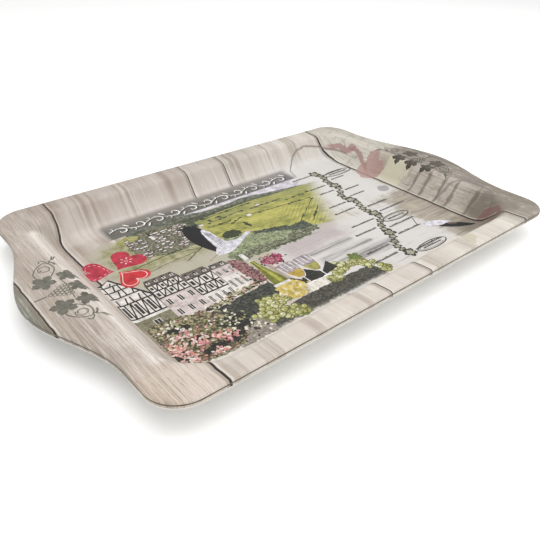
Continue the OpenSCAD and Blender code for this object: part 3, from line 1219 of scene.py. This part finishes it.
def ears(net, x, y, tone):
    """The end boards: rougher, with figure and pores, browner outwards and to the right, with painted light
    on the left wall, the front left rim and the back right, and painted shade in the left wall's corners.
    """
    ends = abs(x).rise(174, 186)
    figure = net.noise(0.62, 0.03, 6, 41, 0.72)
    pores = net.noise(1.5, 0.2, 4, 23, 0.65)
    lines = net.noise(1.1, 0.012, 3, 67, 0.6)
    lined = x.rise(-174, -186) * y.rise(30, -90)
    scuffs = net.noise(0.09, 0.07, 6, 97, 0.75)
    scuffed = x.rise(176, 182)
    # Painted light: the back part of the right wall and of the ear behind it is made paler.
    lit_back_right = x.rise(176, 179) * y.rise(40, 60)
    return net.tints(
        tone, (x.window(-238, -222, 10), "A99D91", 0.75),
        (x.rise(-170, -190) * y.rise(-95, -130), "CBBBAB", 0.8),
        # Painted light on the left wall and on the front left rim, then painted shade in the left wall's
        # front and back corners.
        (patch(x, y, -206, -188, -112, 108, 4), "F2EBE4", 0.75),
        (patch(x, y, -206, -178, -170, -118, 8), "E6DDD4", 0.36),
        (patch(x, abs(y), -193, -177, 98, 120, 6), "978D80", 0.5),
        (x.rise(176, 179) * y.rise(6, -6), "BFB6AC", 0.95),
        (patch(x, y, 178, 206, -106, -90, 4), "8F938E", 0.8),
        (x.rise(203, 210) * y.rise(66, 46), "867F75", 0.95), (x.rise(230, 244), "6E675B", 0.8),
        (x.rise(150, 190) * y.rise(-60, -108), "857C6E", 0.8),
        # Painted light over the back right wall and the ear beyond it.
        (lit_back_right, "DAD6CB", 0.85), (lit_back_right * x.rise(203, 212), "BAB6A9", 0.9),
        (ends * figure.rise(0.5, 0.64), "7D7066", 0.5),
        (ends * figure.rise(0.46, 0.36), "EAE3D9", 0.45),
        (lined * lines.rise(0.54, 0.62), "8A7B6E", 0.36),
        (lined * lines.rise(0.46, 0.4), "EDE6DC", 0.34),
        (scuffed * scuffs.rise(0.52, 0.62), "6A6258", 0.34),
        (scuffed * scuffs.rise(0.47, 0.38), "CBC4B6", 0.36),
        (ends * pores.rise(0.56, 0.72), "6E5F52", 0.55))


def washes(net, x, y, tone):
    """The picture's soft ground: a green haze, pale mist beyond it, and brown and grey streaks."""
    along = net.noise(0.02, 0.3, 5, 3, 0.6)
    cloud = net.noise(0.05, 0.06, 5, 37, 0.6)
    wander = (cloud - 0.5) * 40
    wx, wy = x + wander, y + wander
    mist = patch(wx, wy, -30, 148, -112, -16, 7)
    brown = patch(wx, wy, 136, 180, -130, -6, 8)
    tone = net.tints(
        tone, (patch(wx, wy, -166, 60, -30, 84, 9), "B3AF9C", 0.85),
        (patch(wx, wy, 84, 177, -6, 118, 9), "D8D7D4", 0.85), (mist, "D6D3D0", 0.9),
        (patch(wx, wy, -24, 58, -40, -14, 12), "B6ABAB", 0.85))
    for left, right, middle, half in (-6, 46, -47, 2.5), (-4, 60, -61, 3), (-4, 84, -76, 6):
        streak = patch(wx, y, left, right, middle - half, middle + half, 4) * along.rise(0.3, 0.6)
        tone = net.tints(tone, (streak, "5A5553", 0.85))
    tone = net.tints(
        tone, (mist * along.rise(0.54, 0.7), "8C8583", 0.5), (brown, "A3998A", 0.8),
        (brown * along.rise(0.46, 0.62), "766B5E", 0.6),
        (brown * cloud.rise(0.52, 0.66), "C2B9A2", 0.5),
        # Darker brown over the front right corner.
        (patch(wx, wy, 152, 206, -134, -90, 6), "7B7165", 0.65))
    for drip in (-13, -27, -47, -62, -87):
        near = (y + wander * 0.3).window(drip - 1.6, drip + 1.6, 1.2)
        tone = net.tints(tone, (near * x.window(176, 206, 7), "5E564D", 0.65))
    return net.tints(tone, (patch(x, wy, 179, 203, 3, 34, 3), "CFCBB4", 0.85))


def joints(net, across, tone):
    """Dark gaps between the boards with a pale and a brown edge, and the gaps' own mask.

    The picture hides the middle two on the floor.
    """
    wobble = (net.noise(0.0, 0.06, 3, 17) - 0.5) * 2.4
    outside = abs(net.y).rise(110, 115)
    shifted = across + wobble
    seam = 0.0
    for joint in JOINTS:
        away = shifted - joint
        shown = outside if abs(joint) < 100 else 1.0
        half = 1.0 if abs(joint) == 178 else 0.6
        gap = away.window(-half, half, 0.3) * shown
        tone = net.tints(tone, (away.window(half + 0.4, half + 1.5, 0.5) * shown, "EEE9E0", 0.4),
                         (away.window(-3.4, -0.4, 0.9) * shown, "85776A", 0.5), (gap, "1F1A16", 0.97))
        seam = net.math("MAXIMUM", seam, gap)
    return tone, seam


def stains(net, tone):
    """Rings and drips that a wine glass left."""
    drift = net.noise(0.06, 0.06, 4, 53) - 0.5
    upper, outer = net.y.rise(88, 100), net.x.rise(174, 186)
    for centre, radius, half, wild, shown, code, strength in (
            ((148, 86), 43.5, 0.8, 5, upper, "7D7068", 0.75),
            ((150, 84), 45, 2.2, 14, outer, "9C6F6C", 0.7),
            ((180, -80), 32, 1.2, 8, outer, "6D706B", 0.55)):
        away = net.distance(centre) + drift * wild
        line = away.window(radius - half, radius + half, 0.7)
        tone = net.tints(tone, (line * shown, code, strength))
    for centre, radius, code, strength in (
            ((186, 50), 12, "AF8C85", 0.75), ((197, 94), 1, "A67F7A", 0.7),
            ((163, 10), 3.4, "98959A", 0.8), ((183, -114), 4, "80504B", 0.6),
            ((170, -126), 3, "6E554D", 0.6), ((112, -122), 3, "B0A67F", 0.5),
            ((102, -142), 4, "B0A67F", 0.42), ((64, -128), 2, "C2A795", 0.4),
            ((146, -133), 2, "C0A692", 0.35)):
        away = net.distance(centre) + drift * 26
        tone = net.tints(tone, (away.rise(radius + 4, radius + 3), code, strength))
    return tone


def surface(name, inputs):
    """A material with one shader. inputs is a function that gives the shader's inputs."""
    material = bpy.data.materials.new(name)
    material.use_nodes = True
    net = Net(material.node_tree)
    shader = net.add("ShaderNodeBsdfPrincipled", inputs(net))
    net.node("ShaderNodeOutputMaterial", {"Surface": shader})
    return material


# How much light the printed inks send back, by colour
INK_DENSITY = (0.76, 0.75, 0.745, 1)


def glazed(name, paint):
    """A printed surface under the clear melamine glaze. paint gives its colour and its height."""
    def inputs(net):
        net.place()
        tone, height = paint(net)
        wear = net.noise(0.9, 0.9, 6, 71, 0.7)
        scratches = net.noise(0.5, 9.0, 2, 5)
        relief = height + (wear + scratches) * 0.18
        return {"Base Color": net.mix(1.0, tone, INK_DENSITY, "MULTIPLY"),
                "Roughness": net.add("ShaderNodeMapRange", {"Value": wear, "To Min": 0.42, "To Max": 0.6}),
                "Normal": net.add("ShaderNodeBump", {"Strength": 0.12, "Distance": 0.0003, "Height": relief}),
                "IOR": 1.28, "Coat Weight": 0.12, "Coat Roughness": 0.2, "Coat IOR": 1.45}
    return surface(name, inputs)


def boards_paint(group):
    return lambda net: net.parts("ShaderNodeGroup", (), "Color", "Height", node_tree=group)


def mottled(size, *codes):
    """Ink in a few tones from dark to light, broken up at about size millimetres."""
    def paint(net):
        value = net.noise(1 / size, 1 / size, 5, size * 3, 0.65)
        contrast = 0.16
        stops = [(0.5 + contrast * (2 * i / (len(codes) - 1) - 1), code) for i, code in enumerate(codes)]
        cloud = net.ramp(net.noise(0.13, 0.13, 6, 61, 0.7), (0.36, "CCCAC6"), (0.54, "FFFFFF"))
        return net.mix(1.0, net.ramp(value, *stops), cloud, "MULTIPLY"), value
    return paint


def leaves_paint(net):
    """Small rounded leaves, each with a tone of its own and a dark edge."""
    size = 1.7
    codes = ("4A4C34", "6F6E4C", "928D68", "B3A886", "9C7468")
    inputs = {"Vector": net.stretched(1 / size, 1 / size), "Scale": 1.0}
    cell, away = net.parts("ShaderNodeTexVoronoi", inputs, "Color", "Distance")
    chance = net.add("ShaderNodeSeparateColor", {0: cell})
    tone = net.ramp(chance, *[((i + 0.5) / len(codes), code) for i, code in enumerate(codes)])
    return net.tints(tone, (away.rise(0.38, 0.75), "1F1E17", 0.75)), 1.0 - away


def fields_paint(net):
    """Vineyard rows: bright leaf greens and golds, ruled by faint lines that lean with the slope."""
    x, y = net.x, net.y
    value = net.noise(0.06, 0.11, 5, 9, 0.62)
    tone = net.ramp(value, (0.34, "747940"), (0.45, "9A9A50"), (0.54, "B2AE5C"), (0.66, "C6C074"))
    level = net.math("SINE", x * 0.45 + y * 1.7)
    climbing = net.math("SINE", y * 1.3 - x)
    near = x.rise(26, 40) * y.rise(44, 38)
    rows = level * (1.0 - near) + climbing * near
    tone = net.tints(
        tone, (y.rise(50, 66), "9A9C68", 0.5), (patch(x, y, -8, 56, 34, 47, 8), "D0CA6E", 0.6),
        (rows.rise(0.0, 0.9), "5C6530", 0.32),
        (net.noise(0.7, 0.7, 4, 2, 0.7).rise(0.53, 0.68), "3E4722", 0.5),
        (net.noise(0.5, 0.6, 4, 33, 0.7).rise(0.56, 0.7), "DAD892", 0.5))
    return tone, value


def band_paint(net):
    """Slate behind the scroll, lighter above and violet to the right."""
    value = net.noise(0.03, 0.14, 4, 4)
    slate = net.mix(net.x.rise(10, 100), colour("6B6963"), colour("807B80"))
    return net.tints(slate, (value.rise(0.45, 0.65), "55544F", 0.45),
                     (net.y.rise(100, 117), "A8A19A", 0.6)), value


def slanting_edge(net):
    """How much of the fields shows: they fade into the mist along a slanting line."""
    return (net.x - net.y * 0.6 + net.noise(0.3, 0.3, 4, 3, 0.7) * 22).rise(92, 62)


def meadow_edge(net):
    """How much of the meadow shows: it fades in from the left, from below and from above."""
    wander = net.noise(0.08, 0.08, 4, 8, 0.7) * 40
    left = (net.x + wander).rise(-152, -128)
    low = (net.y + wander * 0.5).rise(18, 40)
    return left * low * (net.y - (net.x + wander) * 0.9).rise(202, 184)


def frame_edge(net):
    """How much of the picture shows at its outer edge, where it fades into the boards."""
    wander = net.noise(0.25, 0.25, 4, 8, 0.7) * 10
    along = net.x + wander
    return along.rise(-180, -170) * along.rise(112, 98) * (net.y - wander).rise(-118, -112)


def band_edge(net):
    """How much of the scroll's band shows: it fades at its ends and its upper edge."""
    return net.x.rise(-141, -133) * net.x.rise(108, 98) * net.y.rise(118.5, 113)


def faded(paint, group, mask):
    """Ink that gives way to the boards under it where mask falls to 0."""
    def mixed(net):
        boards = net.add("ShaderNodeGroup", (), "Color", node_tree=group)
        tone, height = paint(net)
        return net.mix(mask(net), boards, tone), height
    return mixed


def moulding_inputs(net):
    """Off-white moulded melamine: faint flow marks, a satin face and scuffs where it slides."""
    at = net.add("ShaderNodeTexCoord", output="Object")
    flow = net.add("ShaderNodeTexNoise", {"Vector": at, "Scale": 22.0, "Detail": 4.0})
    fine = net.add("ShaderNodeTexNoise", {"Vector": at, "Scale": 900.0, "Detail": 3.0})
    height = net.add("ShaderNodeSeparateXYZ", {0: at}, 2)
    scuff = height.rise(0.0006, 0.0001) * fine.rise(0.45, 0.62)
    tone = net.ramp(flow, (0.35, "D2CEC6"), (0.6, "DBD8D0"))
    return {"Base Color": net.tints(tone, (scuff, "9C978D", 0.6)),
            "Roughness": net.add("ShaderNodeMapRange", {"Value": fine, "To Min": 0.3, "To Max": 0.5}),
            "Normal": net.add("ShaderNodeBump", {"Strength": 0.2, "Distance": 0.0002, "Height": fine}),
            "IOR": 1.5}


# Each ink's size of mottling in millimetres, and its tones from dark to light
MOTTLED_INKS = {
    "band_shadow": (3, "24221F", "3A3733"), "scroll": (4, "EFECE6", "FFFFFF"),
    "near_ridge": (3, "2F3529", "4D5340", "6E735C"), "woods": (2.4, "252A21", "4A5144", "787F70"),
    "hedge": (1.6, "20251A", "3A4029", "59603C"), "crimson": (4, "B0293E", "CA3D53"),
    "red": (4, "BE2831", "D53B40"), "pale_line": (3, "EBBDBB", "F6DAD6"),
    "plaster": (3, "D8D2CB", "F1EDE7"), "pink": (4, "C8BAB8", "E0D3D0"), "stone": (2, "6F6B55", "98947A"),
    "sill": (3, "D6D4CC", "F2F0EC"), "timber": (1.5, "201C1A", "3F3733"), "pane": (1, "242224", "434042"),
    "roof": (1.2, "3E3A37", "68615A", "8A8076"), "creeper": (2.6, "3B2A2A", "86605F", "B79A97"),
    "bird_dark": (2, "0C0B0E", "201E23"), "bird_pale": (5, "C2BFCD", "E0DEE7", "F5F5F8"),
    "leg": (1, "8F7767", "BFA48E"), "shade": (2, "151513", "2E2D29", "4A473D"),
    "coral": (1, "C47A6C", "E3A696"), "rose": (1, "A85A64", "CC8A8C"), "blush": (1, "DDB2A4", "F0D2C6"),
    "cream": (1, "D8D2C4", "F3EFE6"), "foliage_pale": (1, "8B8A62", "B5B28A"),
    "magenta": (1, "7C1F48", "B03A68"), "magenta_pale": (1, "C27A86", "DBA3AA"),
    "bottle": (5, "5E6222", "8B8D34"), "bottle_light": (5, "9B9A40", "BBB85C"),
    "glow": (3, "B59F48", "D2B95F", "E9DC9A"), "glass": (5, "8A8084", "A79DA0", "C4BCBE"),
    "wine_amber": (4, "A68A34", "CDB15C"), "wine_pale": (4, "97934A", "BDB870"),
    "glint": (2, "E6E2DC", "FFFFFF"), "berry_dark": (1, "4E5628", "737A3E"),
    "berry_shade": (2, "454C26", "7C8246", "A3A560"), "berry": (1.2, "9C9C55", "C2C07C"),
    "berry_pale": (1.2, "C3C190", "DEDCB0"), "pavement": (1.6, "6B655C", "958D83", "C4BDB3"),
    "leaf_green": (2, "3B4A22", "66763A", "8C9A58"), "route": (1.2, "2C2B20", "4A4836"),
    "leaf_fill": (1.5, "8F917C", "B9BAA6"), "note": (1, "45433F", "65635E"),
    "sprig": (4, "65645A", "7D7B70"), "sprig_dark": (4, "443F36", "5F594D"),
    # The edge roll's dark line below is partly painted shade where the roll turns down.
    "edge_line_and_shade": (3, "5F5B4C", "7D7867"),
}
# The same for inks at the picture's outer edge, which fade into the boards
FADED_INKS = {
    "sky": (18, "C4C2CC", "D9D7DF", "E6E5E8"), "ridge": (5, "4A4F43", "6B6F61", "94958A"),
    "slope": (2.2, "4E573B", "7C8763", "9EA984", "C0C4AA"), "meadow": (7, "8B8A5C", "A6A47C", "BCB79A"),
    "village": (2.4, "3F3F31", "75745F", "A09F86"), "far_field": (3, "8F8D52", "A9A768", "B5B281"),
    "water": (2.4, "23241F", "3F413A", "65665C"), "ledge": (1.8, "2C2C27", "4B4A42", "6F6D60"),
    "thicket": (2.6, "3A3D30", "74775F", "A9AA92"),
}


def print_materials():
    """Every ink's material, and the moulding's."""
    group = boards_group()
    paints = {"boards": boards_paint(group), "band": faded(band_paint, group, band_edge),
              "vineyard": faded(fields_paint, group, slanting_edge),
              "foliage": faded(leaves_paint, group, frame_edge)}
    paints |= {ink: mottled(*tones) for ink, tones in MOTTLED_INKS.items()}
    for ink, tones in FADED_INKS.items():
        paints[ink] = faded(mottled(*tones), group, meadow_edge if ink == "meadow" else frame_edge)
    made = {ink: glazed(ink, paint) for ink, paint in paints.items()}
    made["moulding"] = made["reverse"] = surface("moulding", moulding_inputs)
    return made


# ---- Studio ----

VIEW_AZIMUTH, VIEW_ELEVATION, VIEW_ROLL = (math.radians(a) for a in (-40.94, 32.83, 1.62))
VIEW_TARGET, VIEW_DISTANCE, VIEW_LENS = Vector((-50.3, -43.2, 3.75)), 509.8, 38.27


def camera():
    """The photograph's viewing angle."""
    level = math.cos(VIEW_ELEVATION)
    back = Vector((math.sin(VIEW_AZIMUTH) * level, -math.cos(VIEW_AZIMUTH) * level, math.sin(VIEW_ELEVATION)))
    made = linked("camera", bpy.data.cameras.new("camera"))
    made.data.lens = VIEW_LENS
    made.data.sensor_width = 36
    made.data.clip_start = 0.01
    made.location = (VIEW_TARGET + back * VIEW_DISTANCE) * MM
    made.rotation_mode = "QUATERNION"
    made.rotation_quaternion = (-back).to_track_quat("-Z", "Y") @ Quaternion((0, 0, 1), VIEW_ROLL)
    bpy.context.scene.camera = made


def softbox(name, place, size, power):
    """A large square light that faces the tray."""
    made = linked(name, bpy.data.lights.new(name, "AREA"))
    made.data.shape = "SQUARE"
    made.data.size = size
    made.data.energy = power
    made.location = place
    made.rotation_mode = "QUATERNION"
    made.rotation_quaternion = (-Vector(place)).to_track_quat("-Z", "Y")


def tent():
    """White light from all round, brightest overhead."""
    world = bpy.data.worlds.new("studio")
    world.use_nodes = True
    net = Net(world.node_tree)
    sky = net.add("ShaderNodeTexCoord", output="Generated")
    up = net.add("ShaderNodeSeparateXYZ", {0: sky}, 2)
    level = net.add("ShaderNodeMapRange", {"Value": up, "To Min": 0.72, "To Max": 0.98})
    light = net.add("ShaderNodeBackground", {"Color": (1, 1, 1, 1), "Strength": level})
    net.node("ShaderNodeOutputWorld", {"Surface": light})
    return world


def paper_inputs(net):
    raw = net.add("ShaderNodeTexCoord", output="Object")
    value = net.add("ShaderNodeTexNoise", {"Vector": raw, "Scale": 300.0})
    normal = net.add("ShaderNodeBump", {"Strength": 0.05, "Height": value})
    return {"Base Color": (0.93, 0.93, 0.925, 1), "Roughness": 0.8, "Normal": normal}


def studio():
    """A white tent with large softboxes above, in front and to the right, over a pale floor."""
    scene = bpy.context.scene
    scene.view_settings.view_transform = "Standard"
    scene.world = tent()
    softbox("overhead_softbox", (0.0, 0.0, 1.5), 1.4, 10)
    softbox("front_softbox", (-0.4, -1.0, 0.9), 1.0, 4)
    softbox("right_softbox", (1.2, -0.2, 0.9), 1.0, 5)
    bm = bmesh.new()
    bmesh.ops.create_grid(bm, x_segments=4, y_segments=4, size=6)
    mesh = bpy.data.meshes.new("studio_floor")
    bm.to_mesh(mesh)
    bm.free()
    mesh.materials.append(surface("studio_paper", paper_inputs))
    linked("studio_floor", mesh)


camera()
studio()
materials = print_materials()
for piece, slot, replaced in ((tray_body(materials), "moulding", ["core_moulding"]),
                              (printed_floor(materials), "print", ["decor_foil", "clear_glaze"]),
                              (printed_surround(materials), "print", ["decor_foil", "clear_glaze"])):
    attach(piece, "root")
    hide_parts(*replaced)
